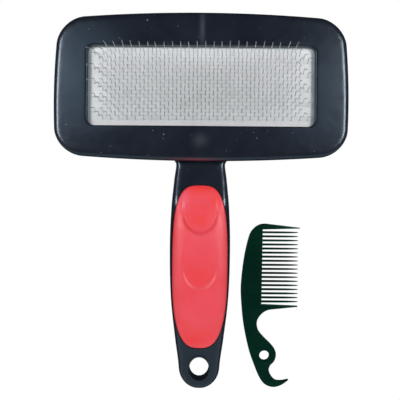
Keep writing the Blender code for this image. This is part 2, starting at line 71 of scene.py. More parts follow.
HEAD_HALF_X, HEAD_HALF_Y, HEAD_RADIUS = 85.7, 43.05, 15.0
HEAD_CENTRE_Y = -0.2
SIDE_BULGE, TOP_BULGE, BOTTOM_BULGE = 1.9, 3.7, 3.7
HEAD_TAPER = 0.85
WINDOW_HALF_X, WINDOW_HALF_Y, WINDOW_RADIUS, WINDOW_Y = 66.0, 23.2, 4.0, 0.2
FACE_Z, FACE_FALL = 18.0, 0.8
SKIRT_OUTER, SKIRT_INNER, SKIRT_FOOT_Z, RIM_FOOT_Z = 3.3, 4.9, 7.5, 11.3
FLANGE_LOW_Z, FLANGE_HIGH_Z, FLANGE_WIDTH = 14.35, 15.4, 2.0
PAD_TOP, PAD_UNDERSIDE, PAD_MARGIN = 14.0, 11.6, 3.6
PAD_CROWN, PAD_CROWN_MARGIN = 0.35, 3.0
SOFT_MARGIN = 4.0

# Handle: stations of (y, half width, underside z, top z), from its end to inside the head
HANDLE_STATIONS = [
    (-178.1, 12.2, 1.3, 11.0),
    (-165.5, 12.2, 1.2, 11.6),
    (-149.2, 14.3, 0.8, 13.6),
    (-125.6, 16.9, 0.4, 17.0),
    (-101.6, 17.8, 0.4, 17.8),
    (-77.6, 17.5, 0.4, 16.6),
    (-54.1, 15.6, 0.5, 12.3),
    (-43.6, 14.3, 0.6, 10.7),
    (-30.6, 14.2, 0.6, 10.2),
]
HANDLE_END, HANDLE_END_RADIUS, HANDLE_SQUARENESS = -178.1, 12.2, 3.0
NECK_EXTRA_SQUARENESS, NECK_BLEND_Y, NECK_BLEND_LENGTH = 4.0, -76.0, 12.0
NECK_FILLET, NECK_FILLET_Y, NECK_FILLET_LENGTH = 1.3, -43.0, 0.9
HOLE_Y, HOLE_HALF_X, HOLE_HALF_Y = -165.7, 5.8, 6.65
HOLE_LIP, HOLE_BACK_Z, HOLE_FRONT_Z = 1.3, 1.25, 11.7
GRIP_TOP, GRIP_CENTRE, GRIP_BOTTOM, GRIP_HALF_X = -57.4, -106.0, -153.0, 16.2
GRIP_UPPER_SQUARENESS, GRIP_LOWER_SQUARENESS = 3.3, 2.8
BACK_GRIP_SHARE, RECESS_GAP = 0.78, 0.3
FRONT_GRIP_PROUD, FRONT_GRIP_THICKNESS = 0.4, 2.6
BACK_GRIP_PROUD, BACK_GRIP_THICKNESS = 0.3, 2.2
ROWS, ROW_PITCH, PIN_PITCH = 20, 2.09, 4.78
FIRST_PIN_X, PIN_REACH, ROWS_IN_PATTERN = -62.1, 62.3, 4
COMB_PLACE = (37.9, -107.2)
COMB_SCALE = 1.032
COMB_THICKNESS = 2.6


# ---------------------------------------------------------------- mesh helpers


def link_mesh(name, mesh, material):
    made = bpy.data.objects.new(name, mesh)
    bpy.context.scene.collection.objects.link(made)
    if material:
        mesh.materials.append(material)
    return made


def from_arrays(name, verts, faces, material=None, angle=40):
    """A smooth-shaded object from vertices in mm and faces."""
    mesh = bpy.data.meshes.new(name)
    mesh.from_pydata((np.asarray(verts, float) * MM).tolist(), [], faces)
    bm = bmesh.new()
    bm.from_mesh(mesh)
    bmesh.ops.recalc_face_normals(bm, faces=bm.faces)
    bm.to_mesh(mesh)
    bm.free()
    mesh.shade_smooth()
    if angle:
        mesh.set_sharp_from_angle(angle=math.radians(angle))
    return link_mesh(name, mesh, material)


def ring_quads(low, high, count):
    """The band of quads between two rings of count vertices that start at low and at high."""
    sides = [(i, (i + 1) % count) for i in range(count)]
    return [(low + i, low + j, high + j, high + i) for i, j in sides]


def loft(name, rings, material=None, closed=False, angle=40):
    """Quads between neighbouring rings of equal length, with caps unless the run is closed."""
    count = len(rings[0])
    verts = [point for ring in rings for point in ring]
    faces = []
    last = len(rings) if closed else len(rings) - 1
    for r in range(last):
        faces += ring_quads(r * count, (r + 1) % len(rings) * count, count)
    if not closed:
        faces.append(tuple(range(count)))
        faces.append(tuple(range(len(verts) - count, len(verts))))
    return from_arrays(name, verts, faces, material, angle)


def apply_boolean(target, cutter, operation):
    modifier = target.modifiers.new("cut", "BOOLEAN")
    modifier.operation = operation
    modifier.object = cutter
    modifier.solver = "EXACT"
    depsgraph = bpy.context.evaluated_depsgraph_get()
    mesh = bpy.data.meshes.new_from_object(target.evaluated_get(depsgraph))
    target.modifiers.clear()
    target.data = mesh
    bpy.data.objects.remove(cutter, do_unlink=True)


def smooth_curve(points, steps):
    """Catmull-Rom points through points, with steps to each span, ends included."""
    points = [np.asarray(p, float) for p in points]
    found = []
    for i in range(len(points) - 1):
        p0, p1 = points[max(i - 1, 0)], points[i]
        p2, p3 = points[i + 1], points[min(i + 2, len(points) - 1)]
        for step in range(steps):
            t = step / steps
            found.append(
                0.5
                * (
                    2 * p1
                    + (p2 - p0) * t
                    + (2 * p0 - 5 * p1 + 4 * p2 - p3) * t**2
                    + (3 * p1 - p0 - 3 * p2 + p3) * t**3
                )
            )
    found.append(points[-1])
    return found


def smooth_value(stations, column, y):
    """The value of a column at y, on a smooth curve through stations in order of y."""
    i = max(k for k in range(len(stations) - 1) if stations[k][0] <= y or k == 0)
    x0, y0 = stations[i][0], stations[i][column]
    x1, y1 = stations[i + 1][0], stations[i + 1][column]
    before, after = stations[max(i - 1, 0)], stations[min(i + 2, len(stations) - 1)]
    slope0 = (y1 - before[column]) / (x1 - before[0])
    slope1 = (after[column] - y0) / (after[0] - x0)
    t, span = (y - x0) / (x1 - x0), x1 - x0
    return (
        (2 * t**3 - 3 * t**2 + 1) * y0
        + (t**3 - 2 * t**2 + t) * span * slope0
        + (3 * t**2 - 2 * t**3) * y1
        + (t**3 - t**2) * span * slope1
    )


def smoothstep(value):
    """0 below 0, 1 above 1, with a smooth rise between."""
    value = np.clip(value, 0.0, 1.0)
    return value * value * (3 - 2 * value)


# ---------------------------------------------------------------- outlines, in mm

ARC_STEPS, LONG_STEPS, SHORT_STEPS = 16, 20, 8


def rounded_rectangle(half_x, half_y, radius):
    """Points round a rectangle about the origin, starting at the right of its upper right arc."""
    points = []
    corners = ((1, 1, 0), (-1, 1, 90), (-1, -1, 180), (1, -1, 270))
    for number, (sign_x, sign_y, start) in enumerate(corners):
        for step in range(ARC_STEPS + 1):
            angle = math.radians(start + 90 * step / ARC_STEPS)
            x = sign_x * (half_x - radius) + radius * math.cos(angle)
            y = sign_y * (half_y - radius) + radius * math.sin(angle)
            points.append((x, y))
        steps = LONG_STEPS if number % 2 == 0 else SHORT_STEPS
        next_x, next_y, next_start = corners[(number + 1) % 4]
        angle = math.radians(next_start)
        target = (
            next_x * (half_x - radius) + radius * math.cos(angle),
            next_y * (half_y - radius) + radius * math.sin(angle),
        )
        begin = points[-1]
        for step in range(1, steps):
            t = step / steps
            points.append(tuple(a + (b - a) * t for a, b in zip(begin, target)))
    return np.array(points)


def head_outline(inset):
    """The head's outline, moved in by inset: four bulged sides, a little wider near the handle."""
    half_x = HEAD_HALF_X - SIDE_BULGE - inset
    half_y = HEAD_HALF_Y - (TOP_BULGE + BOTTOM_BULGE) / 2 - inset
    middle = (BOTTOM_BULGE - TOP_BULGE) / 2 + HEAD_CENTRE_Y
    points = rounded_rectangle(half_x, half_y, max(HEAD_RADIUS - inset, 4.0))
    across, along = points[:, 0] / half_x, points[:, 1] / half_y
    bulge = np.where(along > 0, TOP_BULGE, BOTTOM_BULGE)
    x = points[:, 0] + SIDE_BULGE * across * np.maximum(0.0, 1 - along**2)
    x -= HEAD_TAPER * across * along
    y = points[:, 1] + middle + bulge * along * np.maximum(0.0, 1 - across**2)
    return np.stack([x, y], 1)


def window_outline(outset):
    half_x, half_y = WINDOW_HALF_X + outset, WINDOW_HALF_Y + outset
    points = rounded_rectangle(half_x, half_y, WINDOW_RADIUS + outset)
    return points + np.array([0.0, WINDOW_Y])


def ring_at(outline, z):
    """The outline at height z, following the face's slight fall to the left and right."""
    fall = FACE_FALL * (outline[:, 0] / HEAD_HALF_X) ** 2
    fall = fall * float(smoothstep((z - 15.0) / 2.0))
    return np.column_stack([outline, z - fall])


def level_ring(outline, z):
    return np.column_stack([outline, np.full(len(outline), z)])


def grip_outline(share, margin, points):
    """The grip's oval, squarer at its upper end, scaled by share and widened by margin."""
    outline = []
    half_x = GRIP_HALF_X * share + margin
    for step in range(points):
        angle = 2 * math.pi * step / points
        across, along = math.cos(angle), math.sin(angle)
        up = along >= 0
        power = 2 / (GRIP_UPPER_SQUARENESS if up else GRIP_LOWER_SQUARENESS)
        reach = GRIP_TOP - GRIP_CENTRE if up else GRIP_CENTRE - GRIP_BOTTOM
        x = half_x * math.copysign(abs(across) ** power, across)
        y = (reach * share + margin) * math.copysign(abs(along) ** power, along)
        outline.append((x, GRIP_CENTRE + y))
    return np.array(outline)


# ---------------------------------------------------------------- handle surface


def handle_section(y):
    """Half width, half height and middle z of the handle's section at y."""
    end_centre = HANDLE_END + HANDLE_END_RADIUS
    width_share = height_share = 1.0
    # the end is a half round in plan and keeps its thickness until close to its tip
    if y < end_centre:
        reach = min((end_centre - y) / HANDLE_END_RADIUS, 1.0)
        width_share = math.sqrt(max(1 - reach**2, 0.0))
        height_share = max(1 - reach**6, 0.0) ** (1 / 3)
    low, high = smooth_value(HANDLE_STATIONS, 2, y), smooth_value(HANDLE_STATIONS, 3, y)
    half_width = smooth_value(HANDLE_STATIONS, 1, y) * width_share
    return half_width, (high - low) / 2 * height_share, (high + low) / 2


def squareness(y):
    """The neck's section is nearly a rounded box, and the grip's part is rounder."""
    share = float(smoothstep((y - NECK_BLEND_Y) / NECK_BLEND_LENGTH))
    return HANDLE_SQUARENESS + NECK_EXTRA_SQUARENESS * share


def handle_surface(x, y, side):
    """The z of the handle's front (side 1) or back (side -1) at x, y."""
    half_width, half_height, middle = handle_section(y)
    across, power = min(abs(x) / half_width, 1.0), squareness(y)
    rise = (1 - across**power) ** (1 / power)
    return middle + side * half_height * rise


def handle_ring(y, points=96):
    """The handle's section at y, a box with well-rounded sides."""
    half_width, half_height, middle = handle_section(y)
    # a small fillet where the neck meets the head
    half_width += NECK_FILLET * math.exp(-max(NECK_FILLET_Y - y, 0.0) / NECK_FILLET_LENGTH)
    power = 2 / squareness(y)
    ring = []
    for step in range(points):
        angle = 2 * math.pi * (step + 0.5) / points
        across, up = math.cos(angle), math.sin(angle)
        x = half_width * math.copysign(abs(across) ** power, across)
        z = middle + half_height * math.copysign(abs(up) ** power, up)
        ring.append((x, y, z))
    return ring


# ---------------------------------------------------------------- materials


def node_material(name):
    material = bpy.data.materials.new(name)
    material.use_nodes = True
    return material, material.node_tree, material.node_tree.nodes["Principled BSDF"]


def add_node(tree, kind, **values):
    node = tree.nodes.new(kind)
    for key, value in values.items():
        if key in node.inputs:
            node.inputs[key].default_value = value
        else:
            setattr(node, key, value)
    return node


def on_object(tree, node):
    """Feeds the object's own coordinates, in metres, to a node."""
    coordinates = add_node(tree, "ShaderNodeTexCoord")
    tree.links.new(coordinates.outputs["Object"], node.inputs["Vector"])
    return node


def object_noise(tree, scale, detail=4.0, roughness=0.55):
    """Noise that lies on the object itself. Scale is in features per metre."""
    noise = add_node(tree, "ShaderNodeTexNoise", Scale=scale, Detail=detail, Roughness=roughness)
    return on_object(tree, noise).outputs["Fac"]


def ramp(tree, source, stops):
    """A colour ramp from (position, colour) stops."""
    node = tree.nodes.new("ShaderNodeValToRGB")
    elements = node.color_ramp.elements
    while len(elements) < len(stops):
        elements.new(0.5)
    for element, (position, colour) in zip(elements, stops):
        element.position = position
        element.color = (*colour, 1.0) if len(colour) == 3 else colour
    tree.links.new(source, node.inputs["Fac"])
    return node.outputs["Color"]


def grey(value):
    return (value, value, value)


def set_or_link(tree, node, sockets):
    """Gives each numbered input either a plain value or another node's output."""
    for socket, value in sockets:
        if hasattr(value, "links"):
            tree.links.new(value, node.inputs[socket])
        else:
            node.inputs[socket].default_value = value


def mix_colour(tree, factor, first, second, blend="MIX"):
    node = tree.nodes.new("ShaderNodeMix")
    node.data_type = "RGBA"
    node.blend_type = blend
    set_or_link(tree, node, ((0, factor), (6, first), (7, second)))
    return node.outputs[2]


def add_bump(tree, shader, height, distance, strength=1.0, before=None):
    """Bumps of a height up to distance, in metres, added to those of the bump node before."""
    node = add_node(tree, "ShaderNodeBump", Strength=strength, Distance=distance)
    tree.links.new(height, node.inputs["Height"])
    if before:
        tree.links.new(before, node.inputs["Normal"])
    tree.links.new(node.outputs["Normal"], shader.inputs["Normal"])
    return node.outputs["Normal"]


def math_node(tree, operation, first, second=0.0):
    node = tree.nodes.new("ShaderNodeMath")
    node.operation = operation
    set_or_link(tree, node, ((0, first), (1, second)))
    return node.outputs[0]


SPOT_EDGE = 0.2


def spot(tree, centre, reach):
    """1 at a point of the object's XY plane, and SPOT_EDGE at reach = (x, y) from it, in mm."""
    split = on_object(tree, add_node(tree, "ShaderNodeSeparateXYZ"))
    total = None
    for axis, at, width in zip("XY", centre, reach):
        away = math_node(tree, "SUBTRACT", split.outputs[axis], at * MM)
        away = math_node(tree, "DIVIDE", away, width * MM)
        away = math_node(tree, "MULTIPLY", away, away)
        total = away if total is None else math_node(tree, "ADD", total, away)
    return math_node(tree, "POWER", SPOT_EDGE, total)


def tinted_spot(tree, base, centre, reach, share, colour):
    """The base colour with a soft spot of another colour, of strength share, over it."""
    strength = math_node(tree, "MULTIPLY", spot(tree, centre, reach), share)
    return mix_colour(tree, strength, base, (*colour, 1.0))


def height_share(tree, low, high):
    """0 below the object's height low, 1 above high, both in mm."""
    split = on_object(tree, add_node(tree, "ShaderNodeSeparateXYZ"))
    above = math_node(tree, "SUBTRACT", split.outputs["Z"], low * MM)
    share = math_node(tree, "DIVIDE", above, (high - low) * MM)
    return ramp(tree, share, [(0.0, grey(0.0)), (1.0, grey(1.0))])


def link_ramp(tree, shader, socket, source, stops):
    """A ramp of the source straight into one of the shader's sockets."""
    tree.links.new(ramp(tree, source, stops), shader.inputs[socket])


def black_plastic():
    """Satin black moulded plastic with a navy cast, fine dust, and a faint lighter streak above the
    window and lighter patch below it.
    """
    material, tree, shader = node_material("black_plastic")
    shader.inputs["Specular IOR Level"].default_value = 0.36
    shader.inputs["Specular Tint"].default_value = (0.72, 0.86, 1.0, 1.0)
    cloud = object_noise(tree, 55, 5)
    base = ramp(tree, cloud, [(0.3, (0.0075, 0.0085, 0.014)), (0.7, (0.012, 0.0145, 0.022))])
    # a faint lighter vertical streak above the window and a lighter patch below it
    streak = math_node(tree, "MULTIPLY", spot(tree, (0.4, 33.0), (1.9, 12.0)), 0.5)
    blob = math_node(tree, "MULTIPLY", spot(tree, (-0.3, -31.5), (5.0, 4.5)), 0.35)
    marks = math_node(tree, "ADD", streak, blob)
    base = mix_colour(tree, marks, base, (0.075, 0.082, 0.1, 1.0))
    # the grip's red light on the rim above the neck
    bounce = math_node(tree, "MULTIPLY", spot(tree, (-4.0, -43.0), (17.0, 1.4)), 0.9)
    bounce = math_node(tree, "MULTIPLY", bounce, height_share(tree, 13.0, 16.0))
    base = mix_colour(tree, bounce, base, (0.14, 0.016, 0.03, 1.0))
    dust = ramp(tree, object_noise(tree, 760, 1.5), [(0.735, grey(0.0)), (0.80, grey(1.0))])
    sparse = ramp(tree, object_noise(tree, 60, 2), [(0.45, grey(0.15)), (0.65, grey(1.0))])
    dust = mix_colour(tree, 1.0, dust, sparse, "MULTIPLY")
    base = mix_colour(tree, dust, base, (0.3, 0.34, 0.38, 1.0))
    tree.links.new(base, shader.inputs["Base Color"])
    rough = [(0.3, grey(0.16)), (0.7, grey(0.22))]
    link_ramp(tree, shader, "Roughness", object_noise(tree, 240, 6), rough)
    fine = add_bump(tree, shader, object_noise(tree, 2600, 3), 0.00002, 0.35)
    add_bump(tree, shader, object_noise(tree, 130, 2), 0.00012, 0.25, fine)
    return material


# Patches of the grip painted a deeper, more saturated red, as painted shade where less sheen is
# reflected: place, reach (both mm) and strength
NO_SHEEN_PAINTED_PATCHES = [
    ((1.0, -60.0), (11.0, 4.0), 0.75), ((9.5, -67.0), (4.0, 8.0), 0.6),
    ((2.5, -71.0), (2.5, 2.5), 0.35), ((0.0, -77.5), (8.0, 5.5), 0.55),
    ((0.0, -110.0), (8.0, 6.0), 0.22), ((0.0, -146.0), (8.0, 4.0), 0.35),
]


def grip_rubber():
    """Satin coral red soft-touch rubber with a faint sheen, painted deeper in colour where less
    sheen is reflected.
    """
    material, tree, shader = node_material("grip_rubber")
    shader.inputs["Specular IOR Level"].default_value = 0.42
    shader.inputs["Sheen Weight"].default_value = 0.12
    shader.inputs["Sheen Roughness"].default_value = 0.4
    reds = [(0.3, (0.77, 0.038, 0.044)), (0.5, (0.79, 0.05, 0.066)), (0.7, (0.80, 0.064, 0.088))]
    base = ramp(tree, object_noise(tree, 38, 4), reds)
    # painted shade: deeper red where less sheen is reflected
    for place, reach, share in NO_SHEEN_PAINTED_PATCHES:
        base = tinted_spot(tree, base, place, reach, share, (0.84, 0.03, 0.022))
    base = tinted_spot(tree, base, (-9.0, -65.5), (3.5, 6.0), 0.7, (0.82, 0.1, 0.16))
    scuff = ramp(tree, object_noise(tree, 520, 3), [(0.66, grey(0.0)), (0.8, grey(0.18))])
    base = mix_colour(tree, scuff, base, (0.95, 0.25, 0.27, 1.0))
    tree.links.new(base, shader.inputs["Base Color"])
    rough = [(0.3, grey(0.36)), (0.7, grey(0.46))]
    link_ramp(tree, shader, "Roughness", object_noise(tree, 300, 5), rough)
    add_bump(tree, shader, object_noise(tree, 4200, 3), 0.00003, 0.45)
    return material


def wire_steel():
    """Drawn steel wire with fine uneven tone and polish."""
    material, tree, shader = node_material("pin_wire")
    shader.inputs["Metallic"].default_value = 1.0
    tones = [(0.3, (0.42, 0.43, 0.44)), (0.7, (0.62, 0.63, 0.65))]
    link_ramp(tree, shader, "Base Color", object_noise(tree, 900, 3), tones)
    rough = [(0.3, grey(0.28)), (0.7, grey(0.42))]
    link_ramp(tree, shader, "Roughness", object_noise(tree, 1500, 3), rough)
    return material


# Painted teal shade and reflection of the window's walls along the pad's edges: place, reach (both
# mm) and strength
PAINTED_EDGE_SHADE = [
    ((-65.6, 0.0), (2.2, 400.0), 0.6), ((65.6, 0.0), (2.3, 400.0), 0.6),
    ((0.0, 23.4), (400.0, 0.8), 0.5),
]


def pad_skin():
    """Pale grey rubber-faced cloth with a fine weave printing through."""
    material, tree, shader = node_material("pad_face")
    shader.inputs["Specular IOR Level"].default_value = 0.3
    shader.inputs["Sheen Weight"].default_value = 0.1
    weave = []
    for direction in ("X", "Y"):
        wave = add_node(tree, "ShaderNodeTexWave", Scale=520.0, Distortion=1.2, Detail=1.0)
        wave.wave_type = "BANDS"
        wave.bands_direction = direction
        weave.append(on_object(tree, wave).outputs["Fac"])
    cloth = math_node(tree, "MULTIPLY", weave[0], weave[1])
    tones = [(0.3, (0.655, 0.63, 0.635)), (0.7, (0.735, 0.705, 0.71))]
    base = ramp(tree, object_noise(tree, 90, 5), tones)
    base = mix_colour(tree, math_node(tree, "MULTIPLY", cloth, 0.25), base, (0.84, 0.82, 0.83, 1.0))
    # painted shade over the middle of the pad, as under the crowded pins
    base = tinted_spot(tree, base, (0.0, -9.0), (58.0, 22.0), 0.3, (0.34, 0.35, 0.34))
    # painted light: a lighter band along the top of the pad
    base = tinted_spot(tree, base, (0.0, 21.5), (85.0, 8.0), 0.75, (0.88, 0.86, 0.87))
    # painted shade and wall reflection along the pad's edges next to the window
    for place, reach, share in PAINTED_EDGE_SHADE:
        base = tinted_spot(tree, base, place, reach, share, (0.16, 0.24, 0.255))
    tree.links.new(base, shader.inputs["Base Color"])
    shader.inputs["Roughness"].default_value = 0.62
    first = add_bump(tree, shader, cloth, 0.00004, 0.5)
    add_bump(tree, shader, object_noise(tree, 1400, 4), 0.00005, 0.4, first)
    return material


def grey_foam():
    """Open-celled grey foam."""
    material, tree, shader = node_material("foam")
    cells = on_object(tree, add_node(tree, "ShaderNodeTexVoronoi", Scale=1500.0))
    tones = [(0.0, (0.10, 0.13, 0.13)), (0.7, (0.3, 0.36, 0.36))]
    link_ramp(tree, shader, "Base Color", cells.outputs["Distance"], tones)
    shader.inputs["Roughness"].default_value = 0.92
    add_bump(tree, shader, cells.outputs["Distance"], 0.0003, 0.7)
    return material


def felt_cloth():
    """Matt grey felt."""
    material, tree, shader = node_material("cloth")
    fibres = object_noise(tree, 2200, 6, 0.7)
    tones = [(0.3, (0.2, 0.22, 0.22)), (0.7, (0.42, 0.44, 0.44))]
    link_ramp(tree, shader, "Base Color", fibres, tones)
    shader.inputs["Roughness"].default_value = 0.95
    shader.inputs["Sheen Weight"].default_value = 0.3
    add_bump(tree, shader, fibres, 0.0002, 0.6)
    return material


def green_plastic():
    """Glossy, very dark green moulded plastic."""
    material, tree, shader = node_material("comb_plastic")
    greens = [(0.3, (0.0004, 0.0095, 0.0055)), (0.7, (0.001, 0.0135, 0.0085))]
    link_ramp(tree, shader, "Base Color", object_noise(tree, 70, 4), greens)
    rough = [(0.3, grey(0.26)), (0.7, grey(0.36))]
    link_ramp(tree, shader, "Roughness", object_noise(tree, 400, 4), rough)
    shader.inputs["Specular IOR Level"].default_value = 0.2
    shader.inputs["Specular Tint"].default_value = (0.25, 1.0, 0.7, 1.0)
    add_bump(tree, shader, object_noise(tree, 1800, 3), 0.00002, 0.4)
    return material


# ---------------------------------------------------------------- head and handle

# Profiles of the head, each point (distance in from the head's outline, z)
RIM_PROFILE = [
    (0.6, RIM_FOOT_Z), (0.3, 12.2), (0.05, 13.3), (0.0, 14.6), (0.0, 15.5), (0.04, 16.1),
    (0.2, 16.65), (0.45, 17.06), (0.75, 17.36), (1.1, 17.59), (1.5, 17.75), (1.9, 17.85),
    (2.35, 17.92), (2.9, 17.965), (3.6, 17.99), (4.6, 18.0), (6.0, 18.0), (8.5, 18.0),
]
TRAY_OUTSIDE = [(9.0, 0.0), (6.0, 0.7), (3.4, 2.4), (1.6, 4.8), (0.7, 7.8), (0.6, 11.0)]
TRAY_INSIDE = [(11.5, 2.4), (8.0, 3.0), (5.2, 4.4), (3.6, 6.0), (3.0, 7.0), (3.0, 25.0)]
# The window's rounded edge, each point (distance out from the window's outline, z)
WINDOW_EDGE = [(1.6, 18.0), (1.0, 17.97), (0.5, 17.88), (0.2, 17.68), (0.04, 17.35), (0.0, 16.9)]
FACE_BANDS = 6
# Heights that are clear of the handle's front and back, where a recess's cutter ends
ABOVE_HANDLE, BELOW_HANDLE = 30.0, -10.0


def frame_moulding(material):
    """The front of the head: rounded rim, slightly crowned face and rounded window edge."""
    rings = [ring_at(head_outline(inset), z) for inset, z in smooth_curve(RIM_PROFILE, 3)]
    outside, inside = head_outline(RIM_PROFILE[-1][0]), window_outline(WINDOW_EDGE[0][0])
    for step in range(1, FACE_BANDS):
        t = step / FACE_BANDS
        rings.append(ring_at(outside * (1 - t) + inside * t, FACE_Z))
    rings += [ring_at(window_outline(outset), z) for outset, z in smooth_curve(WINDOW_EDGE, 2)]
    window, flange = window_outline(0.0), window_outline(FLANGE_WIDTH)
    rings += [ring_at(window, 15.6), ring_at(window, FLANGE_LOW_Z)]
    rings += [ring_at(flange, FLANGE_LOW_Z), ring_at(flange, FLANGE_HIGH_Z)]
    skirt_in, skirt_out = head_outline(SKIRT_INNER), head_outline(SKIRT_OUTER)
    rings += [ring_at(skirt_in, 15.0), ring_at(skirt_in, SKIRT_FOOT_Z)]
    rings += [ring_at(skirt_out, SKIRT_FOOT_Z), ring_at(skirt_out, RIM_FOOT_Z)]
    made = loft("head_frame_moulding", rings, material, closed=True, angle=50)
    finish_piece(made, "brush", "black_plastic", "head_frame")


def oval_pad(name, outline, front, back, rings, material=None):
    """A pad over an oval. front(x, y, away) and back(x, y, away) give z, and away is in mm
    from the outline."""
    centre = np.array([0.0, GRIP_CENTRE])
    count = len(outline)
    lengths = np.linalg.norm(outline - centre, axis=1)
    verts, faces, rims = [], [], []
    for surface in (front, back):
        first = len(verts)
        verts.append((0.0, GRIP_CENTRE, surface(0.0, GRIP_CENTRE, float(lengths.min()))))
        for step in range(1, rings + 1):
            share = math.sin(math.pi / 2 * step / rings)
            for point, length in zip(outline, lengths):
                x, y = centre + (point - centre) * share
                # the ray from the centre is slanted to the long sides, so x gives a closer measure
                away = (1 - share) * min(length, abs(point[0]) + 0.3 * length)
                verts.append((x, y, surface(x, y, away)))
        for i in range(count):
            faces.append((first, first + 1 + i, first + 1 + (i + 1) % count))
        for step in range(rings - 1):
            low = first + 1 + step * count
            faces += ring_quads(low, low + count, count)
        rims.append(first + 1 + (rings - 1) * count)
    faces += ring_quads(rims[0], rims[1], count)
    return from_arrays(name, verts, faces, material, 45)


def lip_point(degrees, face_z, inward):
    """How far the hole's lip flares, and its z, at an angle of its quarter circle."""
    angle = math.radians(degrees)
    flare = HOLE_LIP * (1 - math.cos(angle))
    return flare, face_z + inward * HOLE_LIP * (1 - math.sin(angle))


def hole_cutter():
    """The hanging hole, with a rounded lip at both faces and a flare beyond them."""
    profile = [(HOLE_LIP + 1.2, HOLE_BACK_Z - 1.4)]
    profile += [lip_point(degrees, HOLE_BACK_Z, 1) for degrees in range(90, -1, -15)]
    profile += [lip_point(degrees, HOLE_FRONT_Z, -1) for degrees in range(0, 91, 15)]
    profile.append((HOLE_LIP + 1.2, HOLE_FRONT_Z + 1.4))
    angles = np.arange(64) * 2 * math.pi / 64
    rings = []
    for flare, z in profile:
        x = (HOLE_HALF_X + flare) * np.cos(angles)
        y = HOLE_Y + (HOLE_HALF_Y + flare) * np.sin(angles)
        rings.append(level_ring(np.column_stack([x, y]), z))
    return loft("hole_cutter", rings)


def body_moulding(material):
    """Back tray, neck and handle in one, with the recesses for the grips."""
    rings = [level_ring(head_outline(inset), z) for inset, z in smooth_curve(TRAY_OUTSIDE, 4)]
    body = loft("brush_body_moulding", rings, material, angle=40)
    end_centre = HANDLE_END + HANDLE_END_RADIUS
    # the sections lie close together at the fillet and round the end
    ys = list(np.arange(-31.0, -42.0, -2.0)) + list(np.arange(-42.4, -47.0, -0.4))
    ys += list(np.arange(-48.0, end_centre, -2.2))
    ys += [end_centre - HANDLE_END_RADIUS * math.sin(math.radians(a)) for a in range(4, 90, 5)]
    handle = loft("handle_solid", [handle_ring(y) for y in ys])
    apply_boolean(body, handle, "UNION")
    rings = [level_ring(head_outline(inset), z) for inset, z in TRAY_INSIDE]
    apply_boolean(body, loft("cavity", rings), "DIFFERENCE")
    front = oval_pad(
        "front_recess",
        grip_outline(1.0, RECESS_GAP, 160),
        lambda x, y, away: ABOVE_HANDLE,
        lambda x, y, away: handle_surface(x, y, 1) - FRONT_GRIP_THICKNESS - RECESS_GAP,
        rings=12,
    )
    apply_boolean(body, front, "DIFFERENCE")
    back = oval_pad(
        "back_recess",
        grip_outline(BACK_GRIP_SHARE, RECESS_GAP, 160),
        lambda x, y, away: handle_surface(x, y, -1) + BACK_GRIP_THICKNESS + RECESS_GAP,
        lambda x, y, away: BELOW_HANDLE,
        rings=12,
    )
    apply_boolean(body, back, "DIFFERENCE")
    apply_boolean(body, hole_cutter(), "DIFFERENCE")
    body.data.shade_smooth()
    body.data.set_sharp_from_angle(angle=math.radians(38))
    finish_piece(body, "brush", "black_plastic", "body_shell")


# Thumb scoops of the front grip: (upper end y, lower end y, depth), in mm
SCOOPS = [(-60.5, -86.8, 1.7), (-90.5, -119.0, 0.85), (-122.5, -150.5, 0.65)]
# A scoop's half width, the share of its length before the round end, the share over which it
# deepens, and the width of the step at its edge as a share of its half width
SCOOP_HALF_X, SCOOP_STRAIGHT, SCOOP_SLOPE, SCOOP_STEP = 11.0, 0.5, 0.8, 0.21
FRONT_EDGE_RADIUS, BACK_EDGE_RADIUS, EDGE_DROP = 1.1, 1.0, 0.8
GROOVE_PITCH, GROOVE_DEPTH = 7.0, 0.35


def scoop_depth(x, y):
    """Each scoop starts level at its head end and ends at a U-shaped step towards the hole."""
    depth = 0.0
    for top, bottom, deepest in SCOOPS:
        t = (top - y) / (top - bottom)
        if not 0.0 < t < 1.0:
            continue
        rounded = max(t - SCOOP_STRAIGHT, 0.0) / (1 - SCOOP_STRAIGHT)
        edge = math.sqrt((x / SCOOP_HALF_X) ** 2 + rounded**2)
        share = smoothstep(t / SCOOP_SLOPE) * smoothstep((1 - edge) / SCOOP_STEP)
        depth += deepest * float(share)
    return depth


def rolled_edge(away, radius):
    """How far a pad's surface drops near its rim."""
    if away >= radius:
        return 0.0
    return radius * (1 - math.sqrt(max(1 - (1 - away / radius) ** 2, 0.0)))


def front_grip(material):
    """The soft grip in the handle's front, with its thumb scoops and a rolled rim."""

    def outside(x, y, away):
        drop = EDGE_DROP * rolled_edge(away, FRONT_EDGE_RADIUS)
        return handle_surface(x, y, 1) + FRONT_GRIP_PROUD - drop - scoop_depth(x, y)

    made = oval_pad(
        "front_grip_rubber",
        grip_outline(1.0, 0.0, 240),
        outside,
        lambda x, y, away: handle_surface(x, y, 1) - FRONT_GRIP_THICKNESS,
        rings=64,
        material=material,
    )
    finish_piece(made, "brush", "grip_rubber", "front_grip")


def back_grip(material):
    """The soft grip in the handle's back, with grooves across it and a rolled rim."""

    def outside(x, y, away):
        wave = max(0.0, math.cos((y - GRIP_CENTRE) * 2 * math.pi / GROOVE_PITCH))
        groove = GROOVE_DEPTH * wave**6 * float(smoothstep((away - 2.0) / 2.0))
        proud = BACK_GRIP_PROUD - EDGE_DROP * rolled_edge(away, BACK_EDGE_RADIUS) - groove
        return handle_surface(x, y, -1) - proud

    made = oval_pad(
        "back_grip_rubber",
        grip_outline(BACK_GRIP_SHARE, 0.0, 200),
        outside,
        lambda x, y, away: handle_surface(x, y, -1) + BACK_GRIP_THICKNESS,
        rings=80,
        material=material,
    )
    finish_piece(made, "brush", "grip_rubber", "back_grip")


# ---------------------------------------------------------------- pad and pins

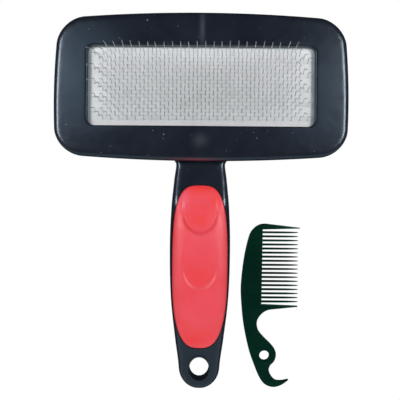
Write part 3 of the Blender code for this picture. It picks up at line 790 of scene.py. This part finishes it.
PAD_COLUMNS, PAD_LINES = 420, 150
DIMPLE_DEPTH, DIMPLE_SPREAD, DIMPLE_REACH = 0.3, 0.35, 2.0
# Rounded edges of the soft layers, each point (distance in from the layer's outline, z)
FOAM_PROFILE = [
    (1.4, 2.75), (0.4, 3.1), (0.05, 4.4), (0.0, 6.1), (0.05, 7.8), (0.4, 9.1), (1.4, 9.45),
]
FELT_PROFILE = [(0.5, 9.8), (0.1, 9.95), (0.0, 10.2), (0.1, 10.45), (0.5, 10.6)]


def row_y(row):
    return WINDOW_Y + ((ROWS - 1) / 2 - row) * ROW_PITCH


def pins_in_row(row):
    """Each pin's x in a row. Rows are staggered by half a pitch, in a pattern of four."""
    first = FIRST_PIN_X + (row - 1) % ROWS_IN_PATTERN * PIN_PITCH / 2
    staples = int((PIN_REACH - first - PIN_PITCH) / (2 * PIN_PITCH)) + 1
    return [first + pin * PIN_PITCH for pin in range(2 * staples)]


def pad_height(x, y):
    """The pad's top surface, a little fuller in the middle, without its pinholes."""
    across = np.clip(np.abs(x) / (WINDOW_HALF_X + PAD_CROWN_MARGIN), 0, 1)
    along = np.clip(np.abs(y - WINDOW_Y) / (WINDOW_HALF_Y + PAD_CROWN_MARGIN), 0, 1)
    return PAD_TOP - PAD_CROWN + PAD_CROWN * (1 - across**6) * (1 - along**4)


def pad_sheet(material):
    """The face sheet: a pillowed surface dimpled where each pin comes through."""
    half_x, half_y = WINDOW_HALF_X + PAD_MARGIN, WINDOW_HALF_Y + PAD_MARGIN
    columns, lines = PAD_COLUMNS, PAD_LINES
    xs = np.linspace(-half_x, half_x, columns)
    ys = np.linspace(-half_y, half_y, lines) + WINDOW_Y
    grid_x, grid_y = np.meshgrid(xs, ys)
    heights = pad_height(grid_x, grid_y)
    for row in range(ROWS):
        for x in pins_in_row(row):
            near_x = np.abs(xs - x) < DIMPLE_REACH
            near_y = np.abs(ys - row_y(row)) < DIMPLE_REACH
            block = np.ix_(near_y, near_x)
            away = (grid_x[block] - x) ** 2 + (grid_y[block] - row_y(row)) ** 2
            heights[block] -= DIMPLE_DEPTH * np.exp(-away / DIMPLE_SPREAD)
    top = np.column_stack([grid_x.ravel(), grid_y.ravel(), heights.ravel()])
    bottom = top.copy()
    bottom[:, 2] = PAD_UNDERSIDE
    count = columns * lines
    verts = np.concatenate([top, bottom])
    faces = []
    for r in range(lines - 1):
        for c in range(columns - 1):
            i = r * columns + c
            faces.append((i, i + 1, i + columns + 1, i + columns))
    rim = list(range(columns))
    rim += [r * columns + columns - 1 for r in range(1, lines)]
    rim += [(lines - 1) * columns + c for c in range(columns - 2, -1, -1)]
    rim += [r * columns for r in range(lines - 2, 0, -1)]
    for i, a in enumerate(rim):
        b = rim[(i + 1) % len(rim)]
        faces.append((a, b, b + count, a + count))
    faces.append(tuple(i + count for i in rim))
    # the underside is one flat face, so the points inside its rim are left out
    used = sorted(set(i for face in faces for i in face))
    place = {old: new for new, old in enumerate(used)}
    faces = [tuple(place[i] for i in face) for face in faces]
    made = from_arrays("pad_sheet", verts[used], faces, material, 50)
    finish_piece(made, "brush", "pad_face", "pad_face")


def soft_block(name, profile, material, slot, node):
    """A cut block of soft sheet with rounded edges, a little larger than the window."""
    rings = []
    for inset, z in smooth_curve(profile, 3):
        rings.append(level_ring(window_outline(SOFT_MARGIN - inset), z))
    made = loft(name, rings, material, angle=60)
    finish_piece(made, "brush", slot, node)


PIN_RADIUS = 0.225
CROWN_Z, STAPLE_SHIFT = 11.1, 0.16
KNEE_Z, KNEE_LEAN, KNEE_INWARD = 19.6, 2.4, 0.5
TIP_Z, TIP_LEAN, TIP_INWARD = 26.0, -1.85, 2.0
TIP_ALLOWANCE, TIP_CLEARANCE = 0.25, 0.02
EDGE_SPLAY, LEFT_EDGE_SPLAY = 2.8, 4.6
TOP_ROW_SPLAY, TOP_ROW_FAN = 3.0, 1.3
PIN_JITTER = (0.3, 0.3, 0.12)
BEND_RADII = (1.3, 0.45, 0.45, 1.3)
WIRE_END_LENGTH, WIRE_END_SHARE = 0.15, 0.6


def tube(path, radius, sides=8):
    """Vertices and faces of a round wire along a path, with its ends slightly rounded."""
    path = np.asarray(path, float)
    tangents = np.gradient(path, axis=0)
    tangents /= np.linalg.norm(tangents, axis=1)[:, None]
    normal = np.cross(tangents[0], (1.0, 0.0, 0.0))
    if np.linalg.norm(normal) < 0.1:
        normal = np.cross(tangents[0], (0.0, 1.0, 0.0))
    normal /= np.linalg.norm(normal)
    radii = np.full(len(path), radius)
    radii[0] = radii[-1] = radius * WIRE_END_SHARE
    verts, faces = [], []
    angles = np.arange(sides) * 2 * math.pi / sides
    for i, (point, tangent) in enumerate(zip(path, tangents)):
        normal = normal - tangent * np.dot(normal, tangent)
        normal /= np.linalg.norm(normal)
        other = np.cross(tangent, normal)
        ring = np.outer(np.cos(angles), normal) + np.outer(np.sin(angles), other)
        verts.extend(point + ring * radii[i])
    for i in range(len(path) - 1):
        faces += ring_quads(i * sides, (i + 1) * sides, sides)
    faces.append(tuple(range(sides)))
    faces.append(tuple(range(len(verts) - sides, len(verts))))
    return verts, faces


def point_towards(start, end, distance):
    """The point at a distance from start on the way to end."""
    way = end - start
    return start + way / np.linalg.norm(way) * distance


def rounded_path(corners, radii, steps=4):
    """A path through corners, each inner corner replaced by a short curve."""
    corners = [np.asarray(c, float) for c in corners]
    path = [corners[0], point_towards(corners[0], corners[1], WIRE_END_LENGTH)]
    for before, corner, after, radius in zip(corners, corners[1:], corners[2:], radii):
        a, b = point_towards(corner, before, radius), point_towards(corner, after, radius)
        for step in range(steps + 1):
            t = step / steps
            path.append((1 - t) ** 2 * a + 2 * t * (1 - t) * corner + t**2 * b)
    path += [point_towards(corners[-1], corners[-2], WIRE_END_LENGTH), corners[-1]]
    return path


def pin_leg(x, y, jitter):
    """Crown, knee and tip of one pin, splayed near the pad's left, right and upper edges."""
    dx, dy, dz = np.clip(jitter.normal(0.0, 1.0, 3), -2, 2) * PIN_JITTER
    across = x / PIN_REACH
    top = max(0.0, y / row_y(0)) ** 8
    splay = EDGE_SPLAY if x > 0 else LEFT_EDGE_SPLAY
    sideways = splay * across**11 + TOP_ROW_FAN * top * across
    knee = (x - KNEE_INWARD * across + 0.5 * dx, y + KNEE_LEAN, KNEE_Z + dz)
    tip_x = x - TIP_INWARD * across + sideways + dx
    tip_y = y + KNEE_LEAN + TIP_LEAN + TOP_ROW_SPLAY * top + dy
    tip_z = min(TIP_Z - TIP_ALLOWANCE + dz, TIP_Z - TIP_CLEARANCE)
    return [(x, y, CROWN_Z), knee, (tip_x, tip_y, tip_z)]


def pin_rows(material):
    """Every staple is one bent wire: tip, knee, crown under the sheet, knee, tip."""
    jitter = np.random.default_rng(7)
    for row in range(ROWS):
        verts, faces = [], []
        pins = pins_in_row(row)
        y = row_y(row) - STAPLE_SHIFT
        for left in range(0, len(pins), 2):
            corners = []
            for x in pins[left : left + 2]:
                leg = pin_leg(x, y, jitter)
                corners += leg if corners else leg[::-1]
            made, quads = tube(rounded_path(corners, BEND_RADII), PIN_RADIUS)
            faces += [tuple(i + len(verts) for i in quad) for quad in quads]
            verts.extend(made)
        piece = from_arrays(f"pin_wires_{row + 1:02d}", verts, faces, material, 60)
        finish_piece(piece, "brush", "pin_wire", f"pin_row_{row + 1:02d}")


# ---------------------------------------------------------------- comb

# The outline, anticlockwise in six stretches from the upper guard tooth's tip. The spine and the
# hook with its notch are smooth curves, and the rest is straight.
UPPER_GUARD_TIP = [(22.1, 23.6), (22.1, 24.1)]
COMB_SPINE = [
    (1.7, 26.4), (-2.05, 25.7), (-5.65, 22.9), (-8.05, 18.2), (-10.75, 5.8), (-12.35, -9.1),
    (-12.15, -19.2), (-10.75, -32.7), (-7.75, -47.0), (-4.75, -55.8), (-1.25, -64.0),
    (2.05, -68.1), (6.5, -69.7), (10.6, -69.0), (13.8, -67.2),
]
HOOK_TIP = [(15.4, -65.9), (15.9, -65.35), (15.3, -65.4)]
COMB_HOOK_AND_NOTCH = [
    (12.6, -66.0), (8.7, -65.9), (6.0, -63.6), (4.4, -59.9), (5.1, -57.2), (7.5, -54.5),
    (8.5, -51.2), (7.9, -47.9), (5.5, -44.6), (1.2, -40.4), (-1.9, -36.6), (-2.9, -32.7),
    (-2.2, -29.6), (0.2, -26.5), (3.4, -24.6), (7.1, -24.0),
]
LOWER_GUARD_TIP = [(20.9, -22.5), (20.9, -22.0)]
TOOTH_ROOTS = [(-0.3, -21.2), (0.2, 22.9)]
COMB_HOLE, COMB_HOLE_POINTS = (1.6, -51.2, 2.88), 40
# A tooth's sections: (x, width, height)
TOOTH_STATIONS = [
    (-1.0, 1.3, 2.3), (4.0, 1.27, 2.2), (10.0, 1.2, 2.05), (14.5, 1.12, 1.85),
    (17.5, 0.92, 1.5), (19.6, 0.72, 1.1), (20.8, 0.5, 0.75), (21.2, 0.25, 0.35),
]
TOOTH_COUNT, TOOTH_PITCH, TOOTH_MIDDLE_Y = 18, 2.4, 0.85
TOOTH_SIDES, TOOTH_ROUNDNESS = 12, 0.75
COMB_BEVEL = 0.38


def comb_curve_loop(curve, points):
    """Adds a closed straight-sided loop to a curve, in the comb's own coordinates."""
    spline = curve.splines.new("POLY")
    spline.points.add(len(points) - 1)
    for target, (x, y) in zip(spline.points, points):
        target.co = (x * COMB_SCALE * MM, y * COMB_SCALE * MM, 0.0, 1.0)
    spline.use_cyclic_u = True


def comb_plate():
    """The comb's flat plate with softly rounded edges, its two guard teeth and its hole."""
    outline = UPPER_GUARD_TIP + smooth_curve(COMB_SPINE, 6) + HOOK_TIP
    outline += smooth_curve(COMB_HOOK_AND_NOTCH, 6) + LOWER_GUARD_TIP + TOOTH_ROOTS
    curve = bpy.data.curves.new("comb_outline", "CURVE")
    curve.dimensions = "2D"
    curve.fill_mode = "BOTH"
    curve.extrude = (COMB_THICKNESS / 2 - COMB_BEVEL) * MM
    curve.bevel_depth = COMB_BEVEL * MM
    curve.bevel_resolution = 3
    curve.offset = -COMB_BEVEL * MM
    comb_curve_loop(curve, outline)
    angles = np.arange(COMB_HOLE_POINTS) * 2 * math.pi / COMB_HOLE_POINTS
    x0, y0, radius = COMB_HOLE
    comb_curve_loop(curve, [(x0 + radius * math.cos(a), y0 + radius * math.sin(a)) for a in angles])
    temporary = bpy.data.objects.new("comb_outline", curve)
    bpy.context.scene.collection.objects.link(temporary)
    depsgraph = bpy.context.evaluated_depsgraph_get()
    mesh = bpy.data.meshes.new_from_object(temporary.evaluated_get(depsgraph))
    bpy.data.objects.remove(temporary, do_unlink=True)
    bm = bmesh.new()
    bm.from_mesh(mesh)
    bmesh.ops.remove_doubles(bm, verts=bm.verts, dist=0.000002)
    bmesh.ops.recalc_face_normals(bm, faces=bm.faces)
    bm.to_mesh(mesh)
    bm.free()
    return link_mesh("hooked_comb_moulding", mesh, None)


def tooth_ring(x, y, width, height):
    """One section of a tooth, between an ellipse and a box in shape."""
    ring = []
    for step in range(TOOTH_SIDES):
        angle = 2 * math.pi * (step + 0.5) / TOOTH_SIDES
        cosine, sine = math.cos(angle), math.sin(angle)
        across = width / 2 * math.copysign(abs(cosine) ** TOOTH_ROUNDNESS, cosine)
        up = height / 2 * math.copysign(abs(sine) ** TOOTH_ROUNDNESS, sine)
        ring.append((x * COMB_SCALE, (y + across) * COMB_SCALE, up))
    return ring


def comb_teeth():
    """The tapering teeth between the two guard teeth, as one mesh."""
    verts, faces = [], []
    for number in range(TOOTH_COUNT):
        y = TOOTH_MIDDLE_Y + (number - (TOOTH_COUNT - 1) / 2) * TOOTH_PITCH
        first = len(verts)
        for x, width, height in TOOTH_STATIONS:
            verts += tooth_ring(x, y, width, height)
        for section in range(len(TOOTH_STATIONS) - 1):
            low = first + section * TOOTH_SIDES
            faces += ring_quads(low, low + TOOTH_SIDES, TOOTH_SIDES)
        faces.append(tuple(range(first, first + TOOTH_SIDES)))
        faces.append(tuple(range(len(verts) - TOOTH_SIDES, len(verts))))
    return from_arrays("comb_teeth", verts, faces)


def comb(material):
    """The comb: a flat plate, and a rounded tapering tooth in each place."""
    made = comb_plate()
    apply_boolean(made, comb_teeth(), "UNION")
    made.data.materials.clear()
    made.data.materials.append(material)
    place = (COMB_PLACE[0] * MM, COMB_PLACE[1] * MM, COMB_THICKNESS / 2 * MM)
    made.data.transform(Matrix.Translation(place))
    made.data.shade_smooth()
    made.data.set_sharp_from_angle(angle=math.radians(50))
    finish_piece(made, "comb", "comb_plastic", "hooked_comb")


# ---------------------------------------------------------------- joining to the frame


def finish_piece(piece, body, slot, *nodes):
    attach(piece, body)
    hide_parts(*nodes)


# ---------------------------------------------------------------- stage and light, in metres

FLOOR_HALF_SIZE, FLOOR_Z, BACKDROP_RADIUS = 2.5, -0.0004, 6.0
AIM = (0.0, -0.03, 0.01)
SOFTBOX_PLACE, SOFTBOX_SIZE, SOFTBOX_WATTS = (0.58, 0.17, 0.95), (0.40, 0.15), 5.9
PANEL_HEIGHT, PANEL_COLOUR = 1.0, (0.55, 0.8, 1.0)
# Panels that face straight down: name, (x, y), size and watts
PANELS = [
    ("left_panel", (-0.34, 0.24), (0.18, 0.22), 0.3),
    ("right_panel", (0.32, 0.20), (0.12, 0.18), 0.14),
]


def seen_only_by_camera(stage):
    stage.visible_diffuse = False
    stage.visible_glossy = False
    stage.visible_transmission = False
    stage.visible_shadow = False


def stage_shape(name, shape, material, **values):
    """An object made by one of bmesh's own shape operators."""
    bm = bmesh.new()
    shape(bm, **values)
    mesh = bpy.data.meshes.new(name)
    bm.to_mesh(mesh)
    bm.free()
    return link_mesh(name, mesh, material)


def make_stage():
    """A white table and backdrop that light nothing, so that the object's edges stay dark."""
    material = bpy.data.materials.new("white_stage")
    material.use_nodes = True
    tree = material.node_tree
    tree.nodes.clear()
    glow = tree.nodes.new("ShaderNodeEmission")
    glow.inputs["Color"].default_value = (1.0, 1.0, 1.0, 1.0)
    output = tree.nodes.new("ShaderNodeOutputMaterial")
    tree.links.new(glow.outputs[0], output.inputs["Surface"])
    grid, sphere = bmesh.ops.create_grid, bmesh.ops.create_icosphere
    floor = stage_shape("floor", grid, material, x_segments=1, y_segments=1, size=FLOOR_HALF_SIZE)
    floor.location.z = FLOOR_Z
    backdrop = stage_shape("backdrop", sphere, material, subdivisions=4, radius=BACKDROP_RADIUS)
    for piece in (floor, backdrop):
        seen_only_by_camera(piece)


def area_light(name, place, target, size, watts, colour=(1.0, 1.0, 1.0)):
    data = bpy.data.lights.new(name, "AREA")
    data.shape = "RECTANGLE"
    data.size, data.size_y = size
    data.energy = watts
    data.color = colour
    light = bpy.data.objects.new(name, data)
    light.location = place
    direction = Vector(target) - Vector(place)
    light.rotation_euler = direction.to_track_quat("-Z", "Y").to_euler()
    light.visible_camera = False
    bpy.context.scene.collection.objects.link(light)


def make_world():
    """Nearly black overhead, a dim glow from the left, right and handle side."""
    world = bpy.data.worlds.new("studio")
    bpy.context.scene.world = world
    world.use_nodes = True
    tree = world.node_tree
    background = tree.nodes["Background"]
    coordinates = tree.nodes.new("ShaderNodeTexCoord")
    split = tree.nodes.new("ShaderNodeSeparateXYZ")
    tree.links.new(coordinates.outputs["Generated"], split.inputs["Vector"])
    across = math_node(tree, "ABSOLUTE", split.outputs["X"])
    sides = ramp(tree, across, [(0.45, grey(0.0)), (0.75, grey(0.3)), (1.0, grey(0.4))])
    handle_side = math_node(tree, "MULTIPLY", split.outputs["Y"], -1.0)
    near = ramp(tree, handle_side, [(0.2, grey(0.0)), (0.45, grey(0.8)), (0.95, grey(1.1))])
    total = mix_colour(tree, 1.0, sides, near, "ADD")
    above = ramp(tree, split.outputs["Z"], [(0.0, grey(0.12)), (0.18, grey(1.0))])
    total = mix_colour(tree, 1.0, total, above, "MULTIPLY")
    total = mix_colour(tree, 1.0, total, (0.02, 0.024, 0.027, 1.0), "ADD")
    total = mix_colour(tree, 1.0, total, (0.78, 0.97, 1.0, 1.0), "MULTIPLY")
    tree.links.new(total, background.inputs["Color"])
    background.inputs["Strength"].default_value = 1.0


def make_lights():
    """A softbox at the left and the right, and two faint blue panels overhead."""
    x, y, z = SOFTBOX_PLACE
    for side in (-1, 1):
        area_light(f"softbox_{side}", (side * x, y, z), AIM, SOFTBOX_SIZE, SOFTBOX_WATTS)
    for name, (x, y), size, watts in PANELS:
        area_light(name, (x, y, PANEL_HEIGHT), (x, y, 0.0), size, watts, PANEL_COLOUR)


def main():
    make_camera()
    make_stage()
    make_world()
    make_lights()
    black, rubber, steel = black_plastic(), grip_rubber(), wire_steel()
    frame_moulding(black)
    body_moulding(black)
    front_grip(rubber)
    back_grip(rubber)
    pad_sheet(pad_skin())
    soft_block("foam_block", FOAM_PROFILE, grey_foam(), "foam", "foam_cushion")
    soft_block("backing_felt", FELT_PROFILE, felt_cloth(), "cloth", "backing_cloth")
    pin_rows(steel)
    comb(green_plastic())
    scene = bpy.context.scene
    scene.view_settings.view_transform = "Standard"
    scene.view_settings.look = "None"


main()
